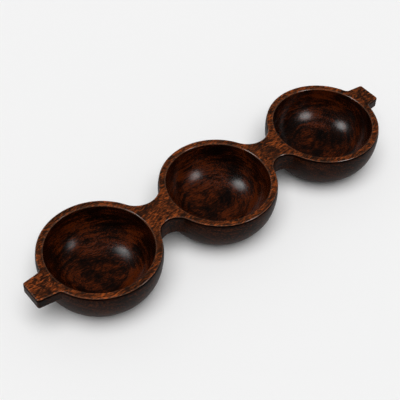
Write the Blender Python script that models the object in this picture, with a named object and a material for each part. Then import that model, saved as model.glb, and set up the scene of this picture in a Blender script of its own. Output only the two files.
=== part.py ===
"""Three-compartment wooden serving tray, modelled at its real size in metres, +Z up.

Three round bowls stand in a row along X. Their rims, the two short necks between them and
the tab at each end share one flat top. Each bowl is worked from a block of its own, with its
half of each neck and its tab left on, and neighbours are butted at the waist of the neck and
held by a pair of dowels in blind holes. The necks stand a little back of the line of the
bowls' centres. The right tab stands back of it too, and the left tab as far in front, and
the left tab is a little the longer one.

The origin is on the table, under the centre of the middle bowl.
"""

import math
from collections import namedtuple

import bmesh
import bpy

MM = 0.001

# Bowl, the same three times
RIM_DIAMETER = 100 * MM
RIM_WIDTH = 6 * MM
TRAY_HEIGHT = 42 * MM
FLOOR_THICKNESS = 7 * MM
FOOT_DIAMETER = 40 * MM
BELLY_SWELL = 0.6 * MM
BELLY_DROP = 7.5 * MM
OUTER_FULLNESS = 2.25
INNER_FULLNESS = 2.2
WELL_FLAT_SHARE = 0.18

# Round-overs on the edges of the flat top and along the undersides of the necks and tabs
TOP_ROUND = 1.2 * MM
UNDER_ROUND = 0.8 * MM

# Necks between the bowls
NECK_SPAN = 20 * MM
NECK_WAIST = 24.6 * MM
NECK_OFFSET = 3.1 * MM
NECK_THICKNESS = 18.5 * MM

# Tab at each end
LEFT_TAB_REACH = 16.2 * MM
RIGHT_TAB_REACH = 13.2 * MM
TAB_WIDTH = 21.5 * MM
TAB_TAPER = math.radians(7)
TAB_OFFSET = 4.4 * MM
TAB_THICKNESS = 10 * MM
TAB_CORNER = 2 * MM
TAB_FILLET = 4 * MM

# Dowels across each neck joint
DOWEL_DIAMETER = 6 * MM
DOWEL_BITE_SHARE = 1 / 3
DOWEL_SPACING_SHARE = 0.5
DOWEL_CHAMFER = 0.8 * MM
FLUTE_DEPTH = 0.35 * MM
FLUTE_COUNT = 10
FLUTE_LAND_SHARE = 0.6

# Clearances
GLUE_GAP = 0.3 * MM
DOWEL_CLEARANCE = 0.3 * MM
DOWEL_END_GAP = 1 * MM
HOLE_COUNTERSINK = 0.5 * MM
MERGE_DISTANCE = 0.0005 * MM

# Facets
RIM_STEPS = 48
ROUND_STEPS = 2
WALL_STEPS = 8
WELL_STEPS = 8
NECK_ARC_STEPS = 5
NECK_FACE_STEPS = 4
TAB_ARC_STEPS = 2
TAB_FACE_STEPS = 3
HOLE_STEPS = 24
SHARP_ANGLE = math.radians(35)

# Sizes that follow from those above
RIM_RADIUS = RIM_DIAMETER / 2
WELL_RADIUS = RIM_RADIUS - RIM_WIDTH
FOOT_RADIUS = FOOT_DIAMETER / 2
BELLY_RADIUS = RIM_RADIUS + BELLY_SWELL
BOWL_PITCH = RIM_DIAMETER + NECK_SPAN
HALF_WAIST = NECK_WAIST / 2
HALF_TAB = TAB_WIDTH / 2
JOINT_REACH = (BOWL_PITCH - GLUE_GAP) / 2
DOWEL_RADIUS = DOWEL_DIAMETER / 2
DOWEL_LENGTH = NECK_SPAN + 2 * DOWEL_BITE_SHARE * RIM_WIDTH
DOWEL_HEIGHT = TRAY_HEIGHT - NECK_THICKNESS / 2
HALF_DOWEL_SPACING = DOWEL_SPACING_SHARE * HALF_WAIST
DOWEL_OFFSETS = (NECK_OFFSET - HALF_DOWEL_SPACING, NECK_OFFSET + HALF_DOWEL_SPACING)

WOOD = ("figured_rosewood", (0.055, 0.026, 0.014, 1.0), 0.36)
DOWEL_WOOD = ("plain_beech", (0.52, 0.36, 0.21, 1.0), 0.6)

# A station is a point of the outline at the top, with the way it moves when the outline is
# drawn in by a round-over. A ring is one turn of the loft: its radius, its height and how far
# each kind of lug is drawn in there. A lug that is missing from it doesn't stand out there.
Station = namedtuple("Station", "lug x y inward_x inward_y")
Ring = namedtuple("Ring", "radius height drawn_in")


def clear_scene():
    """Remove every object."""
    for item in list(bpy.data.objects):
        bpy.data.objects.remove(item)


def wood_material(finish):
    """Make a plain Principled material from a name, a colour and a roughness."""
    name, colour, roughness = finish
    material = bpy.data.materials.new(name)
    material.use_nodes = True
    shader = material.node_tree.nodes["Principled BSDF"]
    shader.inputs["Base Color"].default_value = colour
    shader.inputs["Roughness"].default_value = roughness
    shader.inputs["Metallic"].default_value = 0.0
    return material


def spread(first, last, steps):
    """List steps + 1 even values from first to last."""
    return [first + (last - first) * step / steps for step in range(steps + 1)]


def arc_stations(lug, centre_x, centre_y, radius, angles, hollow):
    """Stations along an arc. A hollow arc is drawn in away from its centre, a corner towards it."""
    side = 1 if hollow else -1
    return [
        Station(lug, centre_x + radius * math.cos(angle), centre_y + radius * math.sin(angle),
                side * math.cos(angle), side * math.sin(angle))
        for angle in angles
    ]


def mirrored(stations):
    """The same stations on the +Y side, in the order that goes on round the outline."""
    return [Station(s.lug, s.x, -s.y, s.inward_x, -s.inward_y) for s in reversed(stations)]


def neck_side(waist):
    """The -Y side of half a neck, from the rim to the joint face, this far out at its waist.

    It is one hollow arc that touches both rims, so its radius follows from the gap between
    the bowls and from the waist.
    """
    half_pitch = BOWL_PITCH / 2
    arc_radius = (half_pitch**2 + waist**2 - RIM_RADIUS**2) / (2 * (RIM_RADIUS - waist))
    arc_y = -(waist + arc_radius)
    start = math.atan2(-arc_y, -half_pitch)
    end = math.pi / 2 + math.asin((half_pitch - JOINT_REACH) / arc_radius)
    side = arc_stations("neck", half_pitch, arc_y, arc_radius, spread(start, end, NECK_ARC_STEPS), True)
    corner = side.pop()
    return side + [Station("neck", JOINT_REACH, corner.y, 0, 1)]


def neck_stations():
    """Half a neck on the +X side, from the rim to the joint face and back."""
    front = neck_side(HALF_WAIST - NECK_OFFSET)
    back = mirrored(neck_side(HALF_WAIST + NECK_OFFSET))
    half_face = (back[0].y - front[-1].y) / 2
    middle = (back[0].y + front[-1].y) / 2
    face = [
        Station("neck", JOINT_REACH, y, 0, (middle - y) / half_face)
        for y in spread(front[-1].y, back[0].y, NECK_FACE_STEPS)[1:-1]
    ]
    return front + face + back


def tab_side(tab_reach, offset):
    """The -Y side of a tab that stands out this far, with its middle this far towards +Y.

    A fillet leads from the rim to the straight side, and a rounded corner on to the end.
    """
    along_x = math.cos(TAB_TAPER)
    along_y = math.sin(TAB_TAPER)
    end_x = RIM_RADIUS + tab_reach
    end_y = offset - HALF_TAB
    start_x = end_x + TAB_FILLET * along_y
    start_y = end_y - TAB_FILLET * along_x
    reach = start_x * along_x + start_y * along_y
    beyond = start_x**2 + start_y**2 - (RIM_RADIUS + TAB_FILLET) ** 2
    way_back = reach - math.sqrt(reach**2 - beyond)
    fillet_x = start_x - way_back * along_x
    fillet_y = start_y - way_back * along_y
    start = math.atan2(-fillet_y, -fillet_x)
    fillet_angles = spread(start, math.pi / 2 + TAB_TAPER, TAB_ARC_STEPS)
    side = arc_stations("tab", fillet_x, fillet_y, TAB_FILLET, fillet_angles, True)
    corner_y = end_y + TAB_CORNER * (1 - along_y) / along_x
    corner_angles = spread(TAB_TAPER - math.pi / 2, 0, TAB_ARC_STEPS)
    return side + arc_stations("tab", end_x - TAB_CORNER, corner_y, TAB_CORNER, corner_angles, False)


def tab_stations(tab_reach):
    """A tab on the +X side, from the rim round its square end and back."""
    front = tab_side(tab_reach, TAB_OFFSET)
    back = mirrored(tab_side(tab_reach, -TAB_OFFSET))
    face = [
        Station("tab", front[-1].x, y, -1, 0)
        for y in spread(front[-1].y, back[0].y, TAB_FACE_STEPS)[1:-1]
    ]
    return front + face + back


def rim_stations(first_angle, last_angle):
    """The bare rim between two lugs, without the ends that the lugs already hold."""
    steps = max(2, round(RIM_STEPS * (last_angle - first_angle) / math.tau))
    return [
        Station("rim", RIM_RADIUS * math.cos(angle), RIM_RADIUS * math.sin(angle),
                -math.cos(angle), -math.sin(angle))
        for angle in spread(first_angle, last_angle, steps)[1:-1]
    ]


def turned(stations):
    """The same lug turned half round, to the -X side of the bowl."""
    return [Station(s.lug, -s.x, -s.y, -s.inward_x, -s.inward_y) for s in stations]


def flipped(stations):
    """The same lug mirrored to the -X side of the bowl."""
    return [Station(s.lug, -s.x, s.y, -s.inward_x, s.inward_y) for s in reversed(stations)]


def bowl_outline(right_lug, left_lug):
    """Stations all round one bowl, anticlockwise from the start of its right lug."""
    right_start = math.atan2(right_lug[0].y, right_lug[0].x)
    right_end = math.atan2(right_lug[-1].y, right_lug[-1].x)
    left_start = math.atan2(left_lug[0].y, left_lug[0].x)
    left_end = math.atan2(left_lug[-1].y, left_lug[-1].x)
    back = rim_stations(right_end, left_start)
    front = rim_stations(math.tau + left_end, math.tau + right_start)
    return right_lug + back + left_lug + front


def round_over(steps):
    """Pairs of how far a quarter round is drawn in and how far it drops, from its top down."""
    return [(1 - math.sin(angle), 1 - math.cos(angle)) for angle in spread(0, math.pi / 2, steps)]


def wall_point(turn):
    """Radius and height of the wall below its belly, from turn 0 at the belly to a quarter turn."""
    power = 2 / OUTER_FULLNESS
    radius = FOOT_RADIUS + (BELLY_RADIUS - FOOT_RADIUS) * math.cos(turn) ** power
    height = (TRAY_HEIGHT - BELLY_DROP) * (1 - math.sin(turn) ** power)
    return max(radius, FOOT_RADIUS), max(height, 0)


def wall_turn(height):
    """The turn at which the wall below the belly is at this height."""
    share = 1 - height / (TRAY_HEIGHT - BELLY_DROP)
    return math.asin(share ** (OUTER_FULLNESS / 2))


def wall_radius(height):
    """Radius of the outer wall at a height below the top round-over."""
    drop = TRAY_HEIGHT - height
    if drop > BELLY_DROP:
        return wall_point(wall_turn(height))[0]
    share = (drop - TOP_ROUND) / (BELLY_DROP - TOP_ROUND)
    return RIM_RADIUS + BELLY_SWELL * math.sin(share * math.pi / 2)


def well_point(turn):
    """Radius and height of the hollow, from turn 0 under the rim to a quarter turn at the bottom."""
    power = 2 / INNER_FULLNESS
    flat = WELL_FLAT_SHARE * WELL_RADIUS
    depth = TRAY_HEIGHT - FLOOR_THICKNESS - TOP_ROUND
    radius = flat + (WELL_RADIUS - flat) * math.cos(turn) ** power
    return radius, TRAY_HEIGHT - TOP_ROUND - depth * math.sin(turn) ** power


def underside_rings(lug, thickness, others):
    """The rings of one lug's flat underside, from the wall out to its side.

    The others are the kinds of lug that are thicker, and that go on past this underside.
    """
    height = TRAY_HEIGHT - thickness
    drawn = {other: 0 for other in others}
    side_height = height + UNDER_ROUND
    return [
        Ring(wall_radius(height), height, dict(drawn)),
        Ring(wall_radius(height), height, {**drawn, lug: UNDER_ROUND}),
        Ring(wall_radius(side_height), side_height, {**drawn, lug: 0}),
    ]


def bowl_rings():
    """Every ring of the loft, from the middle of the foot, over the rim, to the bottom of the hollow."""
    neck_turn = wall_turn(TRAY_HEIGHT - NECK_THICKNESS)
    wall_turns = spread(math.pi / 2, neck_turn, WALL_STEPS)[:-1]
    rings = [Ring(0, 0, {})]
    rings += [Ring(*wall_point(turn), {}) for turn in wall_turns]
    rings += underside_rings("neck", NECK_THICKNESS, [])
    rings += underside_rings("tab", TAB_THICKNESS, ["neck"])
    belly_height = TRAY_HEIGHT - BELLY_DROP
    rings.append(Ring(BELLY_RADIUS, belly_height, {"neck": 0, "tab": 0}))
    for inset, drop in reversed(round_over(ROUND_STEPS)):
        drawn = {"neck": inset * TOP_ROUND, "tab": inset * TOP_ROUND}
        rings.append(Ring(RIM_RADIUS - inset * TOP_ROUND, TRAY_HEIGHT - drop * TOP_ROUND, drawn))
    for inset, drop in round_over(ROUND_STEPS):
        rings.append(Ring(WELL_RADIUS + inset * TOP_ROUND, TRAY_HEIGHT - drop * TOP_ROUND, {}))
    well_turns = spread(0, math.pi / 2, WELL_STEPS)[1:]
    rings += [Ring(*well_point(turn), {}) for turn in well_turns]
    rings.append(Ring(0, FLOOR_THICKNESS, {}))
    return rings


def placed(station, ring):
    """Where a station lies on a ring: on its lug's side, or on the round of the bowl if that is wider."""
    inset = ring.drawn_in.get(station.lug)
    x = station.x + station.inward_x * (inset or 0)
    y = station.y + station.inward_y * (inset or 0)
    reach = math.hypot(x, y)
    radius = ring.radius if inset is None else max(reach, ring.radius)
    return x * radius / reach, y * radius / reach, ring.height


def finish_mesh(mesh, name, material):
    """Smooth the round faces, keep the edges sharp, and put the mesh in the scene as an object."""
    mesh.shade_smooth()
    mesh.set_sharp_from_angle(angle=SHARP_ANGLE)
    mesh.materials.append(material)
    item = bpy.data.objects.new(name, mesh)
    bpy.context.scene.collection.objects.link(item)
    return item


def loft_mesh(name, rings_of_points):
    """Skin closed rings of points one after the other, and merge the points that fall together."""
    mesh = bpy.data.meshes.new(name)
    build = bmesh.new()
    rows = [[build.verts.new(point) for point in points] for points in rings_of_points]
    for lower, upper in zip(rows, rows[1:]):
        for index in range(len(lower)):
            after = (index + 1) % len(lower)
            build.faces.new((lower[index], lower[after], upper[after], upper[index]))
    bmesh.ops.remove_doubles(build, verts=build.verts, dist=MERGE_DISTANCE)
    build.to_mesh(mesh)
    build.free()
    return mesh


def make_bowl(name, place, right_lug, left_lug, material):
    """One bowl with the lugs that are left on its block, standing at its place along X."""
    outline = bowl_outline(right_lug, left_lug)
    points = [[placed(station, ring) for station in outline] for ring in bowl_rings()]
    bowl = finish_mesh(loft_mesh(name, points), name, material)
    bowl.location.x = place
    return bowl


def dowel_ring(x, radius, flute):
    """A ring of a fluted rod about X: lands at the full radius, and a groove between them."""
    points = []
    pitch = math.tau / FLUTE_COUNT
    for index in range(FLUTE_COUNT):
        middle = index * pitch
        half_land = FLUTE_LAND_SHARE * pitch / 2
        for angle, reach in ((middle - half_land, radius), (middle + half_land, radius),
                             (middle + pitch / 2, radius - flute)):
            points.append((x, reach * math.cos(angle), reach * math.sin(angle)))
    return points


def dowel_mesh():
    """A straight-fluted dowel with chamfered ends, centred on the joint and lying along X."""
    half = DOWEL_LENGTH / 2
    tip = DOWEL_RADIUS - DOWEL_CHAMFER
    rings = [
        dowel_ring(-half, 0, 0),
        dowel_ring(-half, tip, 0),
        dowel_ring(DOWEL_CHAMFER - half, DOWEL_RADIUS, FLUTE_DEPTH),
        dowel_ring(half - DOWEL_CHAMFER, DOWEL_RADIUS, FLUTE_DEPTH),
        dowel_ring(half, tip, 0),
        dowel_ring(half, 0, 0),
    ]
    return loft_mesh("dowel", rings)


def drill_rings(place_y):
    """Rings of one drilled hole about X, countersunk where the two joint faces meet."""
    hole = DOWEL_RADIUS + DOWEL_CLEARANCE
    half = DOWEL_LENGTH / 2 + DOWEL_END_GAP
    sink = HOLE_COUNTERSINK + GLUE_GAP / 2
    outline = [(-half, 0), (-half, hole), (-sink, hole), (0, hole + sink),
               (sink, hole), (half, hole), (half, 0)]
    angles = [index * math.tau / HOLE_STEPS for index in range(HOLE_STEPS)]
    return [
        [(x, place_y + radius * math.cos(angle), radius * math.sin(angle)) for angle in angles]
        for x, radius in outline
    ]


def make_drill(name, place):
    """The pair of holes of one joint, as a guide that cuts both neighbours."""
    mesh = bpy.data.meshes.new(name)
    build = bmesh.new()
    for place_y in DOWEL_OFFSETS:
        build.from_mesh(loft_mesh(name, drill_rings(place_y)))
    build.to_mesh(mesh)
    build.free()
    drill = bpy.data.objects.new(name, mesh)
    bpy.context.scene.collection.objects.link(drill)
    drill.location = (place, 0, DOWEL_HEIGHT)
    drill.display_type = "WIRE"
    drill.hide_render = True
    return drill


def drill_holes(bowl, drill):
    """Cut a joint's holes into one of its two bowls."""
    cut = bowl.modifiers.new(drill.name, "BOOLEAN")
    cut.operation = "DIFFERENCE"
    cut.solver = "EXACT"
    cut.object = drill


def main():
    """Build the tray: three bowls, and the dowels that hold them together."""
    clear_scene()
    tray = bpy.data.objects.new("tray", None)
    bpy.context.scene.collection.objects.link(tray)

    wood = wood_material(WOOD)
    neck = neck_stations()
    left_tab = turned(tab_stations(LEFT_TAB_REACH))
    right_tab = tab_stations(RIGHT_TAB_REACH)
    left = make_bowl("bowl_left", -BOWL_PITCH, neck, left_tab, wood)
    middle = make_bowl("bowl_middle", 0, neck, flipped(neck), wood)
    right = make_bowl("bowl_right", BOWL_PITCH, right_tab, flipped(neck), wood)

    dowel_wood = wood_material(DOWEL_WOOD)
    fluted_rod = dowel_mesh()
    pieces = [left, middle, right]
    for side, place, neighbours in (("left", -BOWL_PITCH / 2, (left, middle)),
                                    ("right", BOWL_PITCH / 2, (middle, right))):
        drill = make_drill("drill_" + side, place)
        for bowl in neighbours:
            drill_holes(bowl, drill)
        for end, offset in zip(("front", "back"), DOWEL_OFFSETS):
            dowel = finish_mesh(fluted_rod.copy(), f"dowel_{side}_{end}", dowel_wood)
            dowel.location = (place, offset, DOWEL_HEIGHT)
            pieces.append(dowel)

    for piece in pieces:
        piece.parent = tray


main()
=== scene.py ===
"""The looks of a three-compartment serving tray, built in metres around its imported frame, +Z up.

Three round bowls in dark figured rosewood stand in a row along X. Their rims, the necks
between them and the tab at each end share one flat top. The wood runs through all three, so
one pattern in the tray's own space covers them, and the joints at the waists of the necks
don't show. The dowels inside the necks keep their own solids and get a beech finish.
"""

import logging
import math
from dataclasses import dataclass
from enum import Enum
from typing import Any

import bpy
from bpy.types import ID, Material, Node, NodeSocket, NodeTree, Object
from mathutils import Matrix, Vector


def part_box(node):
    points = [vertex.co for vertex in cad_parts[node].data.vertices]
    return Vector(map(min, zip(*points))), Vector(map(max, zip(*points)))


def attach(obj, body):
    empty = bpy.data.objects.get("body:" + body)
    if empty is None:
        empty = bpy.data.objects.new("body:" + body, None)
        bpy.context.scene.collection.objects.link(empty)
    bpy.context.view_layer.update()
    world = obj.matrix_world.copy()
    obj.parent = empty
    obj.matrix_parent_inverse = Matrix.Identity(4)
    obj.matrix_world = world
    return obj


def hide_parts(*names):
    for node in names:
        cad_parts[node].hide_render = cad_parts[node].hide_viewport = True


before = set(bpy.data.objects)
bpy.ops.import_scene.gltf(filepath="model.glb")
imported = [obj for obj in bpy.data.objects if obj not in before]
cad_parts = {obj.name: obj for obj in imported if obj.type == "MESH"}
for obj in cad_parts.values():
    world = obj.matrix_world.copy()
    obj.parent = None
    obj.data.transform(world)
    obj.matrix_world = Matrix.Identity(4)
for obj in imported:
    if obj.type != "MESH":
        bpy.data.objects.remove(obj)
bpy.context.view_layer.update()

MM = 0.001
# The parts of a bowl's surface that the wood tells apart, each stored as a share from 0 to 1
SURFACE_SHARES = ("hollow", "outside", "edge", "lip")
LOG = logging.getLogger("tray")


def linear(code: str) -> tuple[float, float, float, float]:
    """Turn an sRGB hex colour into the linear colour that a shader takes.

    Args:
        code: The colour as "#rrggbb".

    Returns:
        Red, green, blue and an alpha of 1, all linear.
    """
    shares = [int(code[place:place + 2], 16) / 255 for place in (1, 3, 5)]
    values = [s / 12.92 if s <= 0.04045 else ((s + 0.055) / 1.055) ** 2.4 for s in shares]
    return values[0], values[1], values[2], 1.0


def live_socket(sockets: Any, name: str | int) -> NodeSocket:
    """Find a socket that is in use, by its name or by its place.

    Args:
        sockets: The inputs or outputs of a node.
        name: The socket's name or place.

    Returns:
        The socket. Of several with one name, the first that the node's settings leave in use.
    """
    if isinstance(name, int):
        return [socket for socket in sockets if socket.enabled][name]
    return next(socket for socket in sockets if socket.name == name and socket.enabled)


def add_node(tree: NodeTree, kind: str, settings: dict[str, Any] | None = None,
             inputs: dict[str | int, Any] | None = None) -> Node:
    """Add one node to a tree, set it up and wire it.

    Args:
        tree: The shader or geometry tree that gets the node.
        kind: The node's type.
        settings: The node's own settings, by name.
        inputs: What each input takes, by its name or place: a value to set, a socket to link,
            or a node, which stands for its first output.

    Returns:
        The new node.
    """
    node = tree.nodes.new(kind)
    for name, value in (settings or {}).items():
        setattr(node, name, value)
    for name, value in (inputs or {}).items():
        socket = live_socket(node.inputs, name)
        if isinstance(value, Node):
            value = live_socket(value.outputs, 0)
        if isinstance(value, NodeSocket):
            tree.links.new(value, socket)
        else:
            socket.default_value = value
    return node


def spread(first: float, last: float, steps: int) -> list[float]:
    """List steps + 1 even values from first to last."""
    return [first + (last - first) * step / steps for step in range(steps + 1)]


def new_object(name: str, data: ID) -> Object:
    """Put a new object that shows this data in the scene, at the origin."""
    item = bpy.data.objects.new(name, data)
    bpy.context.scene.collection.objects.link(item)
    return item


def blank_material(name: str) -> Material:
    """Make a material with an empty node tree."""
    material = bpy.data.materials.new(name)
    material.use_nodes = True
    material.node_tree.nodes.clear()
    return material


def number_math(tree: NodeTree, operation: str, *operands: Any) -> Node:
    """Add a node that works out a number."""
    return add_node(tree, "ShaderNodeMath", {"operation": operation}, dict(enumerate(operands)))


def vector_math(tree: NodeTree, operation: str, *operands: Any) -> Node:
    """Add a node that works out a vector, or the length of one."""
    return add_node(tree, "ShaderNodeVectorMath", {"operation": operation}, dict(enumerate(operands)))


def mixed(tree: NodeTree, kind: str, share: Any, first: Any, second: Any, blend: str = "MIX") -> Node:
    """Add a node that mixes a second number or colour into a first one, by a share."""
    return add_node(tree, "ShaderNodeMix", {"data_type": kind, "blend_type": blend}, {
        "Factor": share, "A": first, "B": second})


def place_in_mm(tree: NodeTree) -> Node:
    """Add the node that gives a place in a piece's own coordinates, in millimetres."""
    coordinates = add_node(tree, "ShaderNodeTexCoord")
    return vector_math(tree, "SCALE", coordinates.outputs["Object"], 1 / MM)


@dataclass(frozen=True)
class Grain:
    """Noise in cells of one size along X, Y and Z, in millimetres, the ground of a grain pattern.

    Its detail says how many finer layers lie on the first, its crispness how strongly they show.
    """

    cell: tuple[float, float, float]
    detail: float
    crispness: float

    def level(self, tree: NodeTree, place: Any) -> NodeSocket:
        """Add the nodes that give the level of the noise at a place, about 0.5 on average."""
        stretched = vector_math(tree, "DIVIDE", place, self.cell)
        noise = add_node(tree, "ShaderNodeTexNoise", {}, {
            "Vector": stretched, "Scale": 1.0, "Detail": self.detail, "Roughness": self.crispness})
        return noise.outputs["Fac"]


class Lug(Enum):
    """What stands out from the rim at a point of a bowl's outline."""

    RIM = 0
    NECK = 1
    TAB = 2


@dataclass(frozen=True)
class Station:
    """A point of the outline at the top, and the way it moves when the outline is drawn in."""

    lug: Lug
    x: float
    y: float
    inward_x: float
    inward_y: float


@dataclass(frozen=True)
class LugState:
    """How a kind of lug lies on a ring: how far it is drawn in, and 1 if it is on the bowl's round."""

    drawn_in: float = 0.0
    roundness: float = 1.0


@dataclass(frozen=True)
class Ring:
    """One turn of a bowl's surface: its radius and height, how its lugs lie, and what it is part of.

    The last four are shares: 1 in the hollow and 1 on the walls and undersides, both painted
    darker as shade, 1 on a rounded edge, painted paler as a highlight, and 1 on the lip under
    the outer edge, painted dark as shade.
    """

    radius: float
    height: float
    neck: LugState = LugState()
    tab: LugState = LugState()
    hollow: float = 0.0
    outside: float = 0.0
    edge: float = 0.0
    lip: float = 0.0


@dataclass(frozen=True)
class BowlForm:
    """The sizes of one bowl with its lugs, the same three times, and the rules of its surface."""

    height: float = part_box("bowl_middle")[1].z
    pitch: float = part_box("bowl_middle")[1].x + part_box("bowl_right")[0].x
    rim_radius: float = 50 * MM
    rim_width: float = 6 * MM
    floor_thickness: float = 7 * MM
    foot_radius: float = 20 * MM
    belly_swell: float = 0.6 * MM
    belly_drop: float = 7.5 * MM
    outer_fullness: float = 2.25
    inner_fullness: float = 2.2
    well_flat_share: float = 0.18
    top_round: float = 1.2 * MM
    under_round: float = 0.8 * MM
    # Where the painted pale edge highlight and the painted dark lip shade lie on the round-overs
    edge_rise: float = 20.0
    lip_start_share: float = 0.3
    lip_rise_share: float = 0.25
    lip_reach: float = 2.0 * MM
    neck_waist: float = 24.6 * MM
    neck_offset: float = 3.1 * MM
    neck_thickness: float = 18.5 * MM
    left_tab_reach: float = 16.2 * MM
    right_tab_reach: float = 13.2 * MM
    tab_width: float = 21.5 * MM
    tab_taper: float = math.radians(7)
    tab_offset: float = 4.4 * MM
    tab_thickness: float = 10 * MM
    tab_corner: float = 2 * MM
    tab_fillet: float = 4 * MM
    rim_steps: int = 160
    neck_steps: int = 16
    neck_face_steps: int = 12
    tab_steps: int = 8
    tab_face_steps: int = 8
    round_steps: int = 6
    wall_steps: int = 30
    well_steps: int = 36
    flat_shares: tuple[float, ...] = (0.04, 0.5, 0.96)

    @property
    def well_radius(self) -> float:
        """Radius of the mouth."""
        return self.rim_radius - self.rim_width

    @property
    def belly_radius(self) -> float:
        """Radius of the wall at its widest."""
        return self.rim_radius + self.belly_swell

    def neck_side(self, waist: float) -> list[Station]:
        """The -Y side of half a neck, from the rim to the joint: one arc that touches both rims.

        Args:
            waist: How far the side is from the line of the bowls' centres at its nearest.

        Returns:
            The stations, from the rim outwards.
        """
        half_pitch = self.pitch / 2
        arc_radius = (half_pitch**2 + waist**2 - self.rim_radius**2) / (2 * (self.rim_radius - waist))
        arc_y = -(waist + arc_radius)
        start = math.atan2(-arc_y, -half_pitch)
        return arc_stations(Lug.NECK, (half_pitch, arc_y), arc_radius,
                            spread(start, math.pi / 2, self.neck_steps), True)

    def neck_stations(self) -> list[Station]:
        """Half a neck on the +X side, from the rim to the joint and back."""
        front = self.neck_side(self.neck_waist / 2 - self.neck_offset)
        back = mirrored(self.neck_side(self.neck_waist / 2 + self.neck_offset))
        face = [
            Station(Lug.NECK, self.pitch / 2, y, 0, (self.neck_offset - y) / (self.neck_waist / 2))
            for y in spread(front[-1].y, back[0].y, self.neck_face_steps)[1:-1]
        ]
        return front + face + back

    def tab_side(self, tab_reach: float, offset: float) -> list[Station]:
        """The -Y side of a tab: a fillet, the straight side and a rounded corner.

        Args:
            tab_reach: How far the tab stands out from the rim.
            offset: How far the tab's middle stands from the line of the bowls' centres, towards +Y.

        Returns:
            The stations, from the rim to the tab's end.
        """
        along_x = math.cos(self.tab_taper)
        along_y = math.sin(self.tab_taper)
        end_x = self.rim_radius + tab_reach
        end_y = offset - self.tab_width / 2
        start_x = end_x + self.tab_fillet * along_y
        start_y = end_y - self.tab_fillet * along_x
        reach = start_x * along_x + start_y * along_y
        beyond = start_x**2 + start_y**2 - (self.rim_radius + self.tab_fillet) ** 2
        way_back = reach - math.sqrt(reach**2 - beyond)
        fillet = (start_x - way_back * along_x, start_y - way_back * along_y)
        fillet_start = math.atan2(-fillet[1], -fillet[0])
        fillet_angles = spread(fillet_start, math.pi / 2 + self.tab_taper, self.tab_steps)
        corner = (end_x - self.tab_corner, end_y + self.tab_corner * (1 - along_y) / along_x)
        corner_angles = spread(self.tab_taper - math.pi / 2, 0, self.tab_steps)
        return (arc_stations(Lug.TAB, fillet, self.tab_fillet, fillet_angles, True)
                + arc_stations(Lug.TAB, corner, self.tab_corner, corner_angles, False))

    def tab_stations(self, tab_reach: float) -> list[Station]:
        """A tab on the +X side that stands out this far, from the rim round its end and back."""
        front = self.tab_side(tab_reach, self.tab_offset)
        back = mirrored(self.tab_side(tab_reach, -self.tab_offset))
        face = [
            Station(Lug.TAB, front[-1].x, y, -1, 0)
            for y in spread(front[-1].y, back[0].y, self.tab_face_steps)[1:-1]
        ]
        return front + face + back

    def rim_stations(self, first_angle: float, last_angle: float) -> list[Station]:
        """The bare rim between two lugs, without the ends that the lugs already hold."""
        steps = max(2, round(self.rim_steps * (last_angle - first_angle) / math.tau))
        angles = spread(first_angle, last_angle, steps)[1:-1]
        return arc_stations(Lug.RIM, (0, 0), self.rim_radius, angles, False)

    def outline(self, right: Lug, left: Lug) -> list[Station]:
        """Stations all round one bowl, anticlockwise from the start of its right lug.

        Args:
            right: The kind of lug on the +X side.
            left: The kind of lug on the -X side.

        Returns:
            The stations in order. The last one joins up with the first.
        """
        right_lug = self.neck_stations()
        left_lug = flipped(self.neck_stations())
        if right is Lug.TAB:
            right_lug = self.tab_stations(self.right_tab_reach)
        if left is Lug.TAB:
            left_lug = turned(self.tab_stations(self.left_tab_reach))
        back = self.rim_stations(math.atan2(right_lug[-1].y, right_lug[-1].x),
                                 math.atan2(left_lug[0].y, left_lug[0].x))
        front = self.rim_stations(math.tau + math.atan2(left_lug[-1].y, left_lug[-1].x),
                                  math.tau + math.atan2(right_lug[0].y, right_lug[0].x))
        return right_lug + back + left_lug + front

    def round_over(self) -> list[tuple[float, float]]:
        """Pairs of how far a quarter round is drawn in and how far it drops, as shares of its radius."""
        turns = spread(0, math.pi / 2, self.round_steps)
        return [(1 - math.sin(turn), 1 - math.cos(turn)) for turn in turns]

    def edge_share(self, inset: float, drop: float) -> float:
        """How far a point of a quarter round belongs to the edge: 0 at both of its ends, 1 between."""
        return min(1.0, self.edge_rise * inset * drop)

    def lip_share(self, drop: float) -> float:
        """How far a point of the outer quarter round belongs to the lip: 0 at the top, 1 lower down."""
        return min(1.0, max(0.0, (drop - self.lip_start_share) / self.lip_rise_share))

    def lip_fade(self, height: float) -> float:
        """How far a point of the wall just below the outer quarter round still belongs to the lip."""
        return max(0.0, 1 - (self.height - self.top_round - height) / self.lip_reach)

    def wall_point(self, turn: float) -> tuple[float, float]:
        """Radius and height of the wall below its belly, from turn 0 at the belly to a quarter turn."""
        power = 2 / self.outer_fullness
        radius = self.foot_radius + (self.belly_radius - self.foot_radius) * math.cos(turn) ** power
        height = (self.height - self.belly_drop) * (1 - math.sin(turn) ** power)
        return max(radius, self.foot_radius), max(height, 0)

    def wall_turn(self, height: float) -> float:
        """The turn at which the wall below the belly is at this height."""
        share = 1 - height / (self.height - self.belly_drop)
        return math.asin(share ** (self.outer_fullness / 2))

    def wall_radius(self, height: float) -> float:
        """Radius of the outer wall at a height below the top round-over."""
        drop = self.height - height
        if drop > self.belly_drop:
            return self.wall_point(self.wall_turn(height))[0]
        share = (drop - self.top_round) / (self.belly_drop - self.top_round)
        return self.rim_radius + self.belly_swell * math.sin(share * math.pi / 2)

    def well_point(self, turn: float) -> tuple[float, float]:
        """Radius and height of the hollow, from turn 0 under the rim to a quarter turn at the bottom."""
        power = 2 / self.inner_fullness
        flat = self.well_flat_share * self.well_radius
        depth = self.height - self.floor_thickness - self.top_round
        radius = flat + (self.well_radius - flat) * math.cos(turn) ** power
        return radius, self.height - self.top_round - depth * math.sin(turn) ** power

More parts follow.
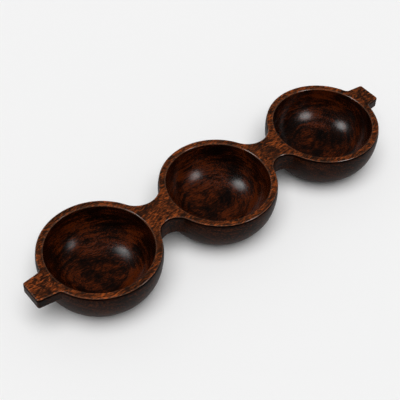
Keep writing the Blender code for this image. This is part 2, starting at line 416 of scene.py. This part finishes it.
    def outside_rings(self) -> list[Ring]:
        """From the middle of the foot up the wall and past the undersides of the lugs to the top edge."""
        rings = [Ring(0, 0, outside=1)]
        neck_under = self.height - self.neck_thickness
        tab_under = self.height - self.tab_thickness
        turns = spread(math.pi / 2, self.wall_turn(neck_under), self.wall_steps)[:-1]
        rings += [Ring(*self.wall_point(turn), outside=1) for turn in turns]
        rings += self.underside_rings(neck_under, "neck", {})
        standing = {"neck": LugState(0, 0)}
        turns = spread(self.wall_turn(neck_under + self.under_round), self.wall_turn(tab_under),
                       self.round_steps)[1:-1]
        rings += [Ring(*self.wall_point(turn), **standing, outside=1) for turn in turns]
        rings += self.underside_rings(tab_under, "tab", standing)
        standing = {"neck": LugState(0, 0), "tab": LugState(0, 0)}
        wall_top = self.height - self.top_round
        heights = spread(tab_under + self.under_round, wall_top, self.round_steps)[1:-1]
        # The lip share here fades the painted dark shade out down the wall just under the round-over
        rings += [Ring(self.wall_radius(height), height, **standing, outside=1, lip=self.lip_fade(height))
                  for height in heights]
        # On the outer round-over the lower part gets painted dark shade (lip), the upper part a painted
        # pale highlight (edge)
        for inset, drop in reversed(self.round_over()):
            drawn = LugState(inset * self.top_round, 0)
            lip = self.lip_share(drop)
            rings.append(Ring(self.rim_radius - drawn.drawn_in, self.height - drop * self.top_round,
                              drawn, drawn, outside=lip, edge=self.edge_share(inset, drop) * (1 - lip),
                              lip=lip))
        return rings

    def underside_rings(self, height: float, lug: str, standing: dict[str, LugState]) -> list[Ring]:
        """The flat underside of one kind of lug, from the wall out to its side.

        Args:
            height: Where the underside lies.
            lug: The field of a ring that tells of this kind of lug.
            standing: The lugs that are thicker, and so go on past this underside.

        Returns:
            The rings, the first one bare of this lug and the last one on its side.
        """
        rings = [Ring(self.wall_radius(height), height, **standing, outside=1)]
        for inset, drop in self.round_over():
            level = height + drop * self.under_round
            drawn = LugState(inset * self.under_round, 0)
            rings.append(Ring(self.wall_radius(level), level, **{**standing, lug: drawn}, outside=1))
        return rings

    def top_rings(self) -> list[Ring]:
        """The flat top between its two round-overs. Near each one a ring holds the flat straight."""
        outer = self.rim_radius - self.top_round
        inner = self.well_radius + self.top_round
        rings = []
        for share in self.flat_shares:
            state = LugState(self.top_round, share)
            rings.append(Ring(outer + (inner - outer) * share, self.height, state, state))
        return rings

    def inside_rings(self) -> list[Ring]:
        """From the inner edge of the flat top down the hollow to the middle of its bottom."""
        rings = []
        # The inner round-over gets a painted pale highlight (edge), and the hollow below is painted darker
        # as shade
        for inset, drop in self.round_over():
            rings.append(Ring(self.well_radius + inset * self.top_round,
                              self.height - drop * self.top_round, hollow=drop,
                              edge=self.edge_share(inset, drop)))
        turns = spread(0, math.pi / 2, self.well_steps)[1:]
        rings += [Ring(*self.well_point(turn), hollow=1) for turn in turns]
        rings.append(Ring(0, self.floor_thickness, hollow=1))
        return rings

    def rings(self) -> list[Ring]:
        """Every ring, from the middle of the foot, over the rim, to the bottom of the hollow."""
        return self.outside_rings() + self.top_rings() + self.inside_rings()


def arc_stations(lug: Lug, centre: tuple[float, float], radius: float, angles: list[float],
                 is_hollow: bool) -> list[Station]:
    """Stations along an arc of the outline.

    Args:
        lug: The kind of lug.
        centre: The arc's centre.
        radius: Its radius.
        angles: Where on it the stations lie.
        is_hollow: Whether the wood lies outside the arc.

    Returns:
        The stations. A hollow arc is drawn in away from its centre, a corner towards it.
    """
    side = 1 if is_hollow else -1
    return [
        Station(lug, centre[0] + radius * math.cos(angle), centre[1] + radius * math.sin(angle),
                side * math.cos(angle), side * math.sin(angle))
        for angle in angles
    ]


def mirrored(stations: list[Station]) -> list[Station]:
    """The same stations on the +Y side, in the order that goes on round the outline."""
    return [Station(s.lug, s.x, -s.y, s.inward_x, -s.inward_y) for s in reversed(stations)]


def turned(stations: list[Station]) -> list[Station]:
    """The same lug turned half round, to the -X side of the bowl."""
    return [Station(s.lug, -s.x, -s.y, -s.inward_x, -s.inward_y) for s in stations]


def flipped(stations: list[Station]) -> list[Station]:
    """The same lug mirrored to the -X side of the bowl."""
    return [Station(s.lug, -s.x, s.y, -s.inward_x, s.inward_y) for s in reversed(stations)]


@dataclass(frozen=True)
class Rosewood:
    """Figured rosewood, turned and sanded fine, then rubbed with oil.

    The log's growth layers lie almost flat and its pith runs at a slant under the tray. So they
    show as streaks and flames in the hollows, and broken into flecks in the flat top and walls.
    The hollows are painted darker and redder and the walls darker and greyer, as shade; the
    walls are also more matt. The rounded edges are painted paler, as a highlight, and are
    glossier. A lip just under the outer edge is painted dark, as shade, and is matt.

    Every length here is in millimetres. A figure holds the weights of the streaks, the flecks
    and the blotches, and then the level of their sum that lies midway along the colours: one
    figure for the top and the walls, one for the hollows. The real pores are about 0.2 mm wide
    and the real flecks a little wider. Both are drawn coarser than that, so that they show.
    """

    name: str = "figured_rosewood_oiled"
    ramp: tuple[tuple[float, str], ...] = (
        (0.28, "#160a05"), (0.42, "#2c1609"), (0.52, "#40200d"), (0.62, "#6a3112"), (0.78, "#a04c1a"))
    # Darkens and reddens the hollows: painted shade.
    hollow_shade_tint: str = "#80746c"
    # Darkens the walls and undersides: painted shade.
    outside_shade_tint: str = "#7e7e6f"
    # Paints the lip just under the outer edge dark: painted shade.
    lip_shade_tint: str = "#5a4038"
    pore_tint: str = "#887e78"
    # Screens the rounded edges paler: a painted highlight.
    edge_highlight_tint: str = "#3c2c22"
    flat_figure: tuple[float, float, float, float] = (0.5, 1.4, 0.15, 1.07)
    deep_figure: tuple[float, float, float, float] = (0.75, 0.9, 0.65, 1.15)
    figure_reach: float = 0.44
    darkest_level: float = 0.2
    palest_level: float = 0.9
    pith: tuple[float, float, float] = (0.0, 14.0, -90.0)
    pith_turn: float = math.radians(-8)
    streaks: Grain = Grain((26.0, 14.0, 2.0), detail=4.0, crispness=0.62)
    flecks: Grain = Grain((4.6, 0.7, 0.7), detail=3.0, crispness=0.65)
    blotches: Grain = Grain((22.0, 22.0, 22.0), detail=2.0, crispness=0.5)
    pores: Grain = Grain((3.0, 0.5, 0.5), detail=1.0, crispness=0.5)
    drift: float = 60.0
    drift_reach: float = 16.0
    curl: float = 7.0
    curl_reach: float = 2.2
    warp_detail: float = 2.0
    warp_crispness: float = 0.5
    noise_middle: float = 0.5
    pore_rim_level: float = 0.44
    pore_floor_level: float = 0.32
    pore_depth: float = 0.05
    pore_relief: float = 0.25
    pore_roughness: float = 0.1
    roughness: float = 0.3
    hollow_roughness: float = 0.2
    outside_roughness: float = 0.45
    edge_roughness: float = 0.12
    ior: float = 1.5
    specular: float = 0.5
    outside_specular: float = 0.06
    edge_specular: float = 1.0
    lip_specular: float = 0.0

    def warped(self, tree: NodeTree, place: Any, size: float, reach: float) -> Node:
        """Push a place about by soft noise.

        Args:
            tree: The material's tree.
            place: The vector in millimetres.
            size: The size of the noise in millimetres.
            reach: How far a place may move, in millimetres.

        Returns:
            The node that gives the moved place.
        """
        noise = add_node(tree, "ShaderNodeTexNoise", {}, {
            "Vector": place, "Scale": 1 / size, "Detail": self.warp_detail,
            "Roughness": self.warp_crispness})
        centred = vector_math(tree, "SUBTRACT", noise.outputs["Color"], (self.noise_middle,) * 3)
        return vector_math(tree, "MULTIPLY_ADD", centred, (reach, reach, reach), place)

    def in_layers(self, tree: NodeTree, place: Any) -> Node:
        """Measure a place by the log that the wood was cut from.

        Args:
            tree: The material's tree.
            place: The vector in millimetres.

        Returns:
            The node that gives how far the place is along the log, across it and from its pith.
        """
        in_log = add_node(tree, "ShaderNodeVectorRotate", {"rotation_type": "Z_AXIS"}, {
            "Vector": place, "Center": self.pith, "Angle": self.pith_turn})
        from_pith = vector_math(tree, "SUBTRACT", in_log, self.pith)
        across = vector_math(tree, "MULTIPLY", from_pith, (0, 1, 1))
        age = vector_math(tree, "LENGTH", across)
        split = add_node(tree, "ShaderNodeSeparateXYZ", {}, {0: in_log})
        return add_node(tree, "ShaderNodeCombineXYZ", {}, {
            "X": split.outputs["X"], "Y": split.outputs["Y"], "Z": age.outputs["Value"]})

    def figured(self, tree: NodeTree, drifted: Any, curled: Any, hollow: Any) -> Node:
        """Mix streaks, flecks and blotches into the figure of the wood.

        Args:
            tree: The material's tree.
            drifted: The place, pushed about widely.
            curled: The same place, pushed about finely as well.
            hollow: The share of the hollow.

        Returns:
            The node that gives the level of the figure, which is low where the wood is dark.
        """
        patterns = (self.streaks.level(tree, self.in_layers(tree, curled)),
                    self.flecks.level(tree, curled), self.blotches.level(tree, drifted))
        levels = []
        for *weights, middle in (self.flat_figure, self.deep_figure):
            total = 0.0
            for pattern, weight in zip(patterns, weights):
                total = number_math(tree, "MULTIPLY_ADD", pattern, weight, total)
            levels.append(add_node(tree, "ShaderNodeMapRange", {}, {
                "Value": total, "From Min": middle - self.figure_reach / 2,
                "From Max": middle + self.figure_reach / 2,
                "To Min": self.darkest_level, "To Max": self.palest_level}))
        return mixed(tree, "FLOAT", hollow, *levels)

    def coloured(self, tree: NodeTree, figure: Node, tints: tuple[tuple[Any, str, str], ...]) -> Node:
        """Colour the figure, and tint it where a share says.

        Args:
            tree: The material's tree.
            figure: The node that gives the figure's level.
            tints: For each tint its share, how it is blended and its colour.

        Returns:
            The node that gives the colour of the wood.
        """
        ramp = add_node(tree, "ShaderNodeValToRGB", {}, {"Fac": figure})
        stops = ramp.color_ramp.elements
        while len(stops) < len(self.ramp):
            stops.new(0.5)
        for stop, (position, code) in zip(stops, self.ramp):
            stop.position = position
            stop.color = linear(code)
        colour = ramp
        for share, blend, tint in tints:
            colour = mixed(tree, "RGBA", share, colour, linear(tint), blend)
        return colour

    def levelled(self, tree: NodeTree, plain: float, levels: tuple[tuple[Any, float], ...]) -> Node:
        """Give a setting of the surface other levels where a share says.

        Args:
            tree: The material's tree.
            plain: Its level on the flat top.
            levels: For each other level its share and its value.

        Returns:
            The node that gives the setting.
        """
        setting = plain
        for share, level in levels:
            setting = mixed(tree, "FLOAT", share, setting, level)
        return setting

    def build(self) -> Material:
        """Make the material. All its patterns read the tray's own coordinates.

        Returns:
            The material.
        """
        material = blank_material(self.name)
        tree = material.node_tree
        drifted = self.warped(tree, place_in_mm(tree), self.drift, self.drift_reach)
        curled = self.warped(tree, drifted, self.curl, self.curl_reach)
        hollow, outside, edge, lip = [
            add_node(tree, "ShaderNodeAttribute", {"attribute_name": share}).outputs["Fac"]
            for share in SURFACE_SHARES
        ]
        pores = add_node(tree, "ShaderNodeMapRange", {}, {
            "Value": self.pores.level(tree, curled), "From Min": self.pore_rim_level,
            "From Max": self.pore_floor_level})

        # The hollow, outside and lip tints are painted shade and the edge tint a painted highlight; the
        # pore tint is the wood's own
        wood = self.coloured(tree, self.figured(tree, drifted, curled, hollow), (
            (hollow, "MULTIPLY", self.hollow_shade_tint), (outside, "MULTIPLY", self.outside_shade_tint),
            (lip, "MULTIPLY", self.lip_shade_tint), (pores, "MULTIPLY", self.pore_tint),
            (edge, "SCREEN", self.edge_highlight_tint)))
        smooth = self.levelled(tree, self.roughness, (
            (hollow, self.hollow_roughness), (outside, self.outside_roughness),
            (edge, self.edge_roughness)))
        rough = number_math(tree, "MULTIPLY_ADD", pores, self.pore_roughness, smooth)
        specular = self.levelled(tree, self.specular, (
            (outside, self.outside_specular), (edge, self.edge_specular), (lip, self.lip_specular)))
        bump = add_node(tree, "ShaderNodeBump", {"invert": True}, {
            "Strength": self.pore_relief, "Distance": self.pore_depth * MM, "Height": pores})
        shader = add_node(tree, "ShaderNodeBsdfPrincipled", {}, {
            "Base Color": wood, "Roughness": rough, "IOR": self.ior, "Specular IOR Level": specular,
            "Normal": bump})
        add_node(tree, "ShaderNodeOutputMaterial", {}, {"Surface": shader})
        return material


@dataclass(frozen=True)
class Beech:
    """Plain beech, turned into dowel rod and left bare: pale, matt, with short brown flecks.

    Its lengths are in millimetres.
    """

    name: str = "plain_beech_turned"
    ground: str = "#c4966a"
    fleck_tint: str = "#97683f"
    flecks: Grain = Grain((2.5, 0.3, 0.3), detail=2.0, crispness=0.5)
    ground_level: float = 0.5
    fleck_level: float = 0.68
    roughness: float = 0.6

    def build(self) -> Material:
        """Make the material.

        Returns:
            The material.
        """
        material = blank_material(self.name)
        tree = material.node_tree
        share = add_node(tree, "ShaderNodeMapRange", {}, {
            "Value": self.flecks.level(tree, place_in_mm(tree)), "From Min": self.ground_level,
            "From Max": self.fleck_level})
        colour = mixed(tree, "RGBA", share, linear(self.ground), linear(self.fleck_tint))
        shader = add_node(tree, "ShaderNodeBsdfPrincipled", {}, {
            "Base Color": colour, "Roughness": self.roughness})
        add_node(tree, "ShaderNodeOutputMaterial", {}, {"Surface": shader})
        return material


@dataclass(frozen=True)
class BowlLoft:
    """The Geometry Nodes tree that lofts a bowl: every station of an outline on every ring of a profile."""

    merge_distance: float = 0.0005 * MM
    hole_sides: int = 48

    def sampled(self, tree: NodeTree, source: Node, at: Node, kind: str, name: str) -> Node:
        """Read one value of the outline or the profile for each point of the sheet.

        Args:
            tree: The loft's tree.
            source: The node that holds the outline or the profile.
            at: The node that gives the station or the ring.
            kind: The type of the value.
            name: The attribute's name, or "position".

        Returns:
            The node that gives the value.
        """
        if name == "position":
            value = add_node(tree, "GeometryNodeInputPosition")
        else:
            value = add_node(tree, "GeometryNodeInputNamedAttribute", {"data_type": kind}, {"Name": name})
        return add_node(tree, "GeometryNodeSampleIndex", {"data_type": kind}, {
            "Geometry": source.outputs["Geometry"], "Value": value, "Index": at})

    def placed(self, tree: NodeTree, outline: Node, station: Node, profile: Node, ring: Node) -> Node:
        """Work out where a point of the sheet goes, seen from the bowl's own centre.

        A station is drawn in as far as the ring says for its kind of lug, and is then moved
        towards the ring's radius by the lug's roundness. It never comes nearer than the wall.

        Args:
            tree: The loft's tree.
            outline: The node that holds the outline.
            station: The node that gives the station of each point.
            profile: The node that holds the profile.
            ring: The node that gives the ring of each point.

        Returns:
            The node that gives the place.
        """
        start = self.sampled(tree, outline, station, "FLOAT_VECTOR", "position")
        inward = self.sampled(tree, outline, station, "FLOAT_VECTOR", "inward")
        lug = self.sampled(tree, outline, station, "INT", "lug")
        place = self.sampled(tree, profile, ring, "FLOAT_VECTOR", "position")
        neck = self.sampled(tree, profile, ring, "FLOAT_VECTOR", "neck")
        tab = self.sampled(tree, profile, ring, "FLOAT_VECTOR", "tab")

        state = add_node(tree, "GeometryNodeIndexSwitch", {"data_type": "VECTOR"}, {
            "Index": lug, "0": (0.0, 1.0, 0.0), "1": neck})
        state.index_switch_items.new()
        tree.links.new(live_socket(tab.outputs, 0), state.inputs["2"])
        state_parts = add_node(tree, "ShaderNodeSeparateXYZ", {}, {0: state})
        place_parts = add_node(tree, "ShaderNodeSeparateXYZ", {}, {0: place})
        radius = place_parts.outputs["X"]

        shift = vector_math(tree, "SCALE", inward, state_parts.outputs["X"])
        drawn = vector_math(tree, "ADD", start, shift)
        reach = vector_math(tree, "LENGTH", drawn)
        direction = vector_math(tree, "NORMALIZE", drawn)
        lug_reach = number_math(tree, "MAXIMUM", reach.outputs["Value"], radius)
        final_reach = mixed(tree, "FLOAT", state_parts.outputs["Y"], lug_reach, radius)
        flat_place = vector_math(tree, "SCALE", direction, final_reach)
        lift = add_node(tree, "ShaderNodeCombineXYZ", {}, {"Z": place_parts.outputs["Z"]})
        return vector_math(tree, "ADD", flat_place, lift)

    def lofted(self, tree: NodeTree, given: Any) -> Node:
        """Bend a sheet into the bowl: a column of it for each station, a row for each ring.

        Args:
            tree: The loft's tree.
            given: The tree's inputs.

        Returns:
            The node that gives the closed bowl, which carries its shares.
        """
        outline = add_node(tree, "GeometryNodeObjectInfo", {}, {"Object": given["Outline"]})
        profile = add_node(tree, "GeometryNodeObjectInfo", {}, {"Object": given["Profile"]})
        stations = add_node(tree, "GeometryNodeAttributeDomainSize", {}, {
            "Geometry": outline.outputs["Geometry"]}).outputs["Point Count"]
        rings = add_node(tree, "GeometryNodeAttributeDomainSize", {}, {
            "Geometry": profile.outputs["Geometry"]}).outputs["Point Count"]
        columns = number_math(tree, "ADD", stations, 1.0)
        sheet = add_node(tree, "GeometryNodeMeshGrid", {}, {"Vertices X": columns, "Vertices Y": rings})

        index = add_node(tree, "GeometryNodeInputIndex")
        ring = number_math(tree, "MODULO", index, rings)
        column = number_math(tree, "FLOOR", number_math(tree, "DIVIDE", index, rings))
        station = number_math(tree, "MODULO", column, stations)

        marked = sheet.outputs["Mesh"]
        for name in SURFACE_SHARES:
            share = self.sampled(tree, profile, ring, "FLOAT", name)
            stored = add_node(tree, "GeometryNodeStoreNamedAttribute", {
                "data_type": "FLOAT", "domain": "POINT"}, {
                "Geometry": marked, "Name": name, "Value": share})
            marked = live_socket(stored.outputs, 0)
        place = self.placed(tree, outline, station, profile, ring)
        in_tray = vector_math(tree, "ADD", place, given["Place"])
        shaped = add_node(tree, "GeometryNodeSetPosition", {}, {"Geometry": marked, "Position": in_tray})
        return add_node(tree, "GeometryNodeMergeByDistance", {}, {
            "Geometry": shaped, "Distance": given["Merge Distance"]})

    def drilled(self, tree: NodeTree, given: Any, bowl: Node) -> Node:
        """Cut the dowel holes into the bowl.

        Args:
            tree: The loft's tree.
            given: The tree's inputs.
            bowl: The node that gives the closed bowl.

        Returns:
            The node that gives the drilled bowl.
        """
        places = add_node(tree, "GeometryNodeObjectInfo", {}, {"Object": given["Hole Places"]})
        hole = add_node(tree, "GeometryNodeMeshCylinder", {}, {
            "Vertices": self.hole_sides, "Radius": given["Hole Radius"], "Depth": given["Hole Length"]})
        holes = add_node(tree, "GeometryNodeInstanceOnPoints", {}, {
            "Points": places.outputs["Geometry"], "Instance": hole.outputs["Mesh"],
            "Rotation": (0, math.pi / 2, 0)})
        cutters = add_node(tree, "GeometryNodeRealizeInstances", {}, {"Geometry": holes})
        return add_node(tree, "GeometryNodeMeshBoolean", {"operation": "DIFFERENCE", "solver": "EXACT"}, {
            "Mesh 1": bowl, "Mesh 2": cutters})

    def build(self) -> NodeTree:
        """Make the tree.

        Its inputs are the outline, the profile, the places of the dowel holes, their sizes, how far
        the bowl stands along X, the merge distance and the material.

        Returns:
            The tree.
        """
        tree = bpy.data.node_groups.new("bowl_loft", "GeometryNodeTree")
        for name, kind in (("Outline", "Object"), ("Profile", "Object"), ("Hole Places", "Object"),
                           ("Hole Radius", "Float"), ("Hole Length", "Float"), ("Place", "Vector"),
                           ("Merge Distance", "Float"), ("Material", "Material")):
            tree.interface.new_socket(name=name, in_out="INPUT", socket_type="NodeSocket" + kind)
        tree.interface.new_socket(name="Geometry", in_out="OUTPUT", socket_type="NodeSocketGeometry")
        given = add_node(tree, "NodeGroupInput").outputs
        drilled = self.drilled(tree, given, self.lofted(tree, given))
        realized = add_node(tree, "GeometryNodeRealizeInstances", {}, {"Geometry": drilled})
        dressed = add_node(tree, "GeometryNodeSetMaterial", {}, {
            "Geometry": realized, "Material": given["Material"]})
        add_node(tree, "NodeGroupOutput", {}, {"Geometry": dressed})
        return tree


def guide(name: str, points: list[tuple[float, float, float]],
          attributes: dict[str, tuple[str, list[Any]]]) -> Object:
    """Make a cloud of points that carries values for a tree to read.

    Args:
        name: The object's name.
        points: Where the points lie.
        attributes: For each attribute its type and its values, one for each point.

    Returns:
        The object, which is deleted again once the tree has read it.
    """
    mesh = bpy.data.meshes.new(name)
    mesh.from_pydata(points, [], [])
    for label, (kind, values) in attributes.items():
        layer = mesh.attributes.new(label, kind, "POINT")
        key = "vector" if kind == "FLOAT_VECTOR" else "value"
        for point, value in zip(layer.data, values):
            setattr(point, key, value)
    return new_object(name, mesh)


@dataclass(frozen=True)
class Bowl:
    """One bowl with the lugs left on its block, which stands for the frame's node of that name."""

    node: str
    place: float
    right: Lug
    left: Lug
    form: BowlForm
    hole_clearance: float = 0.3 * MM
    hole_end_gap: float = 1.0 * MM
    joint_slack: float = 1.0 * MM
    sharp_angle: float = math.radians(35)

    def dowels(self) -> list[str]:
        """Names of the dowels whose middles lie on this bowl's joints."""
        near = []
        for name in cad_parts:
            if name.startswith("dowel_"):
                low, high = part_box(name)
                if abs(abs((low.x + high.x) / 2 - self.place) - self.form.pitch / 2) < self.joint_slack:
                    near.append(name)
        return near

    def hole_sizes(self) -> tuple[list[Vector], float, float]:
        """Where the dowel holes go, and their radius and length, from the dowels of the frame.

        Returns:
            The middles of the holes, their radius and their length.
        """
        boxes = [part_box(name) for name in self.dowels()]
        middles = [(low + high) / 2 for low, high in boxes]
        low, high = boxes[0]
        radius = (high.z - low.z) / 2 + self.hole_clearance
        length = high.x - low.x + 2 * self.hole_end_gap
        return middles, radius, length

    def build(self, tree: NodeTree, wood: Material) -> Object:
        """Loft the bowl, drill it and make the result a plain mesh that rides with the tray.

        Args:
            tree: The loft's tree.
            wood: The finish.

        Returns:
            The piece.
        """
        stations = self.form.outline(self.right, self.left)
        rings = self.form.rings()
        outline = guide(self.node + "_outline", [(s.x, s.y, 0) for s in stations], {
            "inward": ("FLOAT_VECTOR", [(s.inward_x, s.inward_y, 0) for s in stations]),
            "lug": ("INT", [s.lug.value for s in stations])})
        profile = guide(self.node + "_profile", [(r.radius, 0, r.height) for r in rings], {
            "neck": ("FLOAT_VECTOR", [(r.neck.drawn_in, r.neck.roundness, 0) for r in rings]),
            "tab": ("FLOAT_VECTOR", [(r.tab.drawn_in, r.tab.roundness, 0) for r in rings]),
            **{share: ("FLOAT", [getattr(r, share) for r in rings]) for share in SURFACE_SHARES}})
        middles, hole_radius, hole_length = self.hole_sizes()
        holes = guide(self.node + "_holes", [tuple(middle) for middle in middles], {})

        blank = new_object(self.node + "_blank", bpy.data.meshes.new(self.node + "_blank"))
        loft = blank.modifiers.new("loft", "NODES")
        loft.node_group = tree
        values = {"Outline": outline, "Profile": profile, "Hole Places": holes,
                  "Hole Radius": hole_radius, "Hole Length": hole_length,
                  "Place": (self.place, 0.0, 0.0), "Merge Distance": BowlLoft.merge_distance,
                  "Material": wood}
        for socket in tree.interface.items_tree:
            if socket.in_out == "INPUT":
                loft[socket.identifier] = values[socket.name]
        view = bpy.context.evaluated_depsgraph_get()
        mesh = bpy.data.meshes.new_from_object(blank.evaluated_get(view), depsgraph=view)
        for helper in (blank, outline, profile, holes):
            bpy.data.objects.remove(helper)
        mesh.shade_smooth()
        mesh.set_sharp_from_angle(angle=self.sharp_angle)
        mesh.name = self.node + "_wood"
        piece = new_object(self.node + "_wood", mesh)
        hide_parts(self.node)
        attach(piece, "root")
        LOG.info("%s: %d faces", piece.name, len(mesh.polygons))
        return piece


@dataclass(frozen=True)
class Tray:
    """The whole object: three bowls in one wood, and the dowels inside the necks."""

    form: BowlForm = BowlForm()
    wood: Rosewood = Rosewood()
    dowel_wood: Beech = Beech()

    def build(self) -> None:
        """Build the bowls in their order and dress the dowels of the frame."""
        tree = BowlLoft().build()
        wood = self.wood.build()
        for node, place, right, left in (("bowl_left", -self.form.pitch, Lug.NECK, Lug.TAB),
                                         ("bowl_middle", 0.0, Lug.NECK, Lug.NECK),
                                         ("bowl_right", self.form.pitch, Lug.TAB, Lug.NECK)):
            Bowl(node, place, right, left, self.form).build(tree, wood)
        beech = self.dowel_wood.build()
        for name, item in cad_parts.items():
            if name.startswith("dowel_"):
                for slot in item.material_slots:
                    slot.material = beech
                LOG.info("%s: dressed in %s", name, beech.name)


@dataclass(frozen=True)
class FarLamp:
    """A soft lamp far from the tray that lights it without being mirrored in it.

    It has its direction and the width that it shows from the tray, in degrees, and its strength.
    """

    name: str
    azimuth: float
    elevation: float
    width: float
    strength: float

    def build(self) -> None:
        """Hang the lamp."""
        data = bpy.data.lights.new(self.name, "SUN")
        data.energy = self.strength
        data.angle = math.radians(self.width)
        lamp = new_object(self.name, data)
        lamp.visible_glossy = False
        lamp.rotation_mode = "QUATERNION"
        lamp.rotation_quaternion = compass(self.azimuth, self.elevation).to_track_quat("Z", "Y")


@dataclass(frozen=True)
class GlintLamp:
    """A round softbox near the tray that shows only as a glint on its edges and in its hollows.

    It has its place, the point that it faces and its width, in metres, how far its light spreads,
    in degrees, and its power.
    """

    name: str
    place: tuple[float, float, float]
    facing: tuple[float, float, float]
    width: float
    spread: float
    power: float

    def build(self) -> None:
        """Hang the lamp."""
        data = bpy.data.lights.new(self.name, "AREA")
        data.shape = "DISK"
        data.size = self.width
        data.spread = math.radians(self.spread)
        data.energy = self.power
        lamp = new_object(self.name, data)
        lamp.visible_camera = False
        lamp.visible_diffuse = False
        lamp.location = self.place
        lamp.rotation_mode = "QUATERNION"
        lamp.rotation_quaternion = (Vector(self.place) - Vector(self.facing)).to_track_quat("Z", "Y")


def compass(azimuth: float, elevation: float) -> Vector:
    """The direction towards a lamp or camera, from its azimuth and elevation in degrees."""
    turn = math.radians(azimuth)
    rise = math.radians(elevation)
    return Vector((math.sin(turn) * math.cos(rise), -math.cos(turn) * math.cos(rise), math.sin(rise)))


@dataclass(frozen=True)
class Studio:
    """A pale floor and plain soft light, with the camera where the photograph was taken from."""

    backdrop: str = "#f3f3f3"
    room_light: float = 0.04
    floor_half: float = 12.0
    lamps: tuple[FarLamp | GlintLamp, ...] = (
        FarLamp("overhead_softbox", azimuth=-40, elevation=73, width=52, strength=2.4),
        FarLamp("room_fill", azimuth=0, elevation=90, width=178, strength=0.74),
        GlintLamp("front_softbox", place=(0.16, -0.32, 0.29), facing=(0.16, 0, 0.02),
                  width=0.18, spread=90, power=0.10),
        GlintLamp("back_softbox", place=(-0.36, 0.24, 0.62), facing=(0.16, 0, 0.02),
                  width=0.32, spread=50, power=0.12),
    )
    aim: tuple[float, float, float] = (-26.4 * MM, -8.6 * MM, 43 * MM)
    distance: float = 792.8 * MM
    azimuth: float = -40.53
    elevation: float = 47.70
    roll: float = 2.73
    lens: float = 87.18
    sensor: float = 36.0
    clip_near: float = 0.01
    clip_far: float = 100.0

    def build_world(self) -> None:
        """Light the room evenly, and let the camera see the backdrop's colour past the floor."""
        world = bpy.data.worlds.new("studio")
        bpy.context.scene.world = world
        world.use_nodes = True
        tree = world.node_tree
        tree.nodes.clear()
        path = add_node(tree, "ShaderNodeLightPath")
        room = add_node(tree, "ShaderNodeBackground", {}, {
            "Color": (1, 1, 1, 1), "Strength": self.room_light})
        seen = add_node(tree, "ShaderNodeBackground", {}, {
            "Color": linear(self.backdrop), "Strength": 1.0})
        mixed = add_node(tree, "ShaderNodeMixShader", {}, {
            0: path.outputs["Is Camera Ray"], 1: room, 2: seen})
        add_node(tree, "ShaderNodeOutputWorld", {}, {"Surface": mixed})

    def build_floor(self) -> None:
        """Lay a wide matt floor under the tray, in the backdrop's colour."""
        material = blank_material("pale_paper_matt")
        tree = material.node_tree
        paper = add_node(tree, "ShaderNodeBsdfDiffuse", {}, {"Color": linear(self.backdrop)})
        add_node(tree, "ShaderNodeOutputMaterial", {}, {"Surface": paper})
        half = self.floor_half
        mesh = bpy.data.meshes.new("floor")
        mesh.from_pydata([(-half, -half, 0), (half, -half, 0), (half, half, 0), (-half, half, 0)],
                         [], [(0, 1, 2, 3)])
        mesh.materials.append(material)
        new_object("floor", mesh)

    def build_camera(self) -> None:
        """Stand the camera at the photograph's viewing angle."""
        data = bpy.data.cameras.new("camera")
        data.sensor_width = self.sensor
        data.lens = self.lens
        data.clip_start = self.clip_near
        data.clip_end = self.clip_far
        camera = new_object("camera", data)
        back = compass(self.azimuth, self.elevation)
        level = back.to_track_quat("Z", "Y").to_matrix().to_4x4()
        rolled = level @ Matrix.Rotation(math.radians(self.roll), 4, "Z")
        camera.matrix_world = Matrix.Translation(Vector(self.aim) + back * self.distance) @ rolled
        bpy.context.scene.camera = camera

    def build(self) -> None:
        """Set the stage, hang the lamps and stand the camera."""
        self.build_world()
        self.build_floor()
        for lamp in self.lamps:
            lamp.build()
        self.build_camera()
        bpy.context.scene.view_settings.view_transform = "Standard"


def main() -> None:
    """Build the tray and its studio."""
    logging.basicConfig(level=logging.INFO, format="%(message)s")
    Tray().build()
    Studio().build()


if __name__ == "__main__":
    main()
